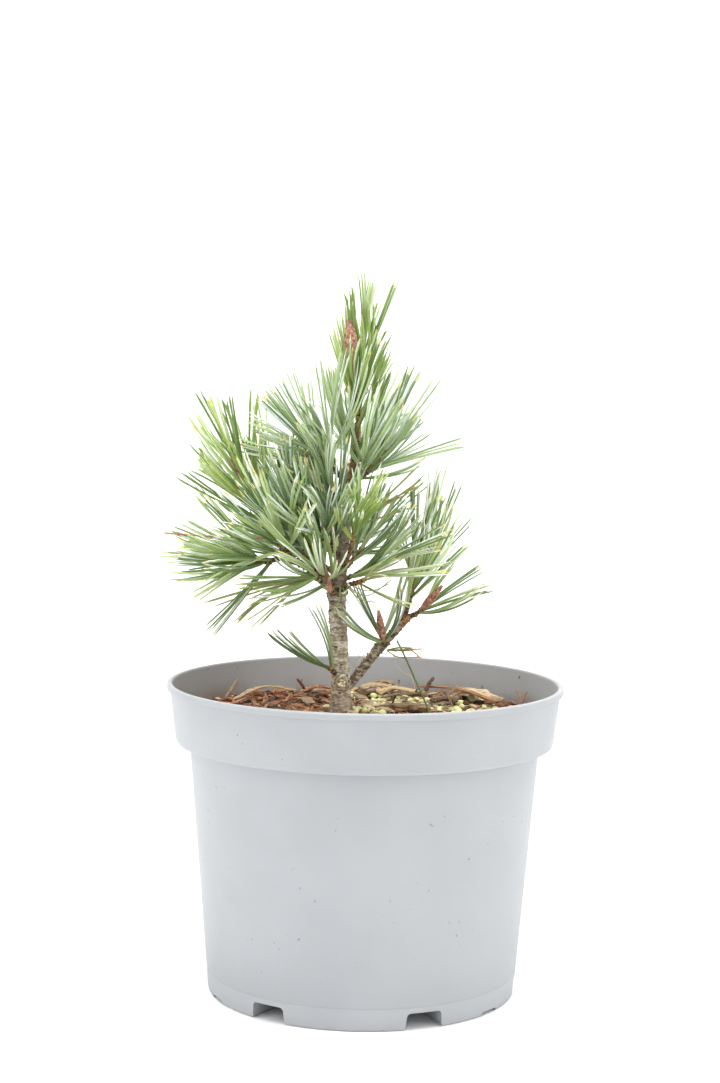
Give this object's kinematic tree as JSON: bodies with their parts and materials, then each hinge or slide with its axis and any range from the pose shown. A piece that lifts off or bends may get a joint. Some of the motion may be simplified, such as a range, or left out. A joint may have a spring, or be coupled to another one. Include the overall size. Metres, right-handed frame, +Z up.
{
  "type": "potted dwarf siberian pine",
  "caption": "Young dwarf Siberian pine with blue-green needle tufts on a short forked trunk, growing in a round light grey nursery pot with a wide collar and notched foot ring.",
  "frame": {"origin": "middle of the pot's underside, on the surface that it stands on", "axes": "+Z up the trunk, -Y towards the front, +X to the right seen from the front"},
  "size_m": [0.19, 0.19, 0.3411],
  "materials": {
    "pot": "light cool grey moulded polypropylene, faintly satin",
    "mulch": "bark and wood chip mulch over potting soil, rough and dry",
    "bark": "grey-beige young bark with dark leaf scars, matt",
    "needles_blue": "blue-green needles with pale waxy inner faces",
    "needles_green": "mid green needles with pale waxy inner faces",
    "needles_fresh": "bright yellow-green young needles",
    "needles_old": "older olive and yellowing needles"
  },
  "bodies": {
    "root": {"pot": "pot", "soil": "mulch", "trunk": "bark", "bough_left": "bark", "bough_right": "bark", "bough_back": "bark", "needles_leader": "needles_fresh", "needles_upper_left": "needles_blue", "needles_upper_right": "needles_blue", "needles_upper_back": "needles_blue", "needles_left_top": "needles_fresh", "needles_left_mid": "needles_green", "needles_left_low": "needles_green", "needles_left_inner": "needles_blue", "needles_left_hanging": "needles_old", "needles_front": "needles_green", "needles_middle": "needles_blue", "needles_middle_high": "needles_blue", "needles_middle_fresh": "needles_fresh", "needles_front_low": "needles_old", "needles_right_mid": "needles_green", "needles_right_low": "needles_green", "needles_right_out": "needles_green", "needles_right_spur": "needles_blue", "needles_foot": "needles_blue", "needles_back": "needles_green", "needles_back_left": "needles_blue", "needles_back_right": "needles_blue"}
  },
  "joints": []
}
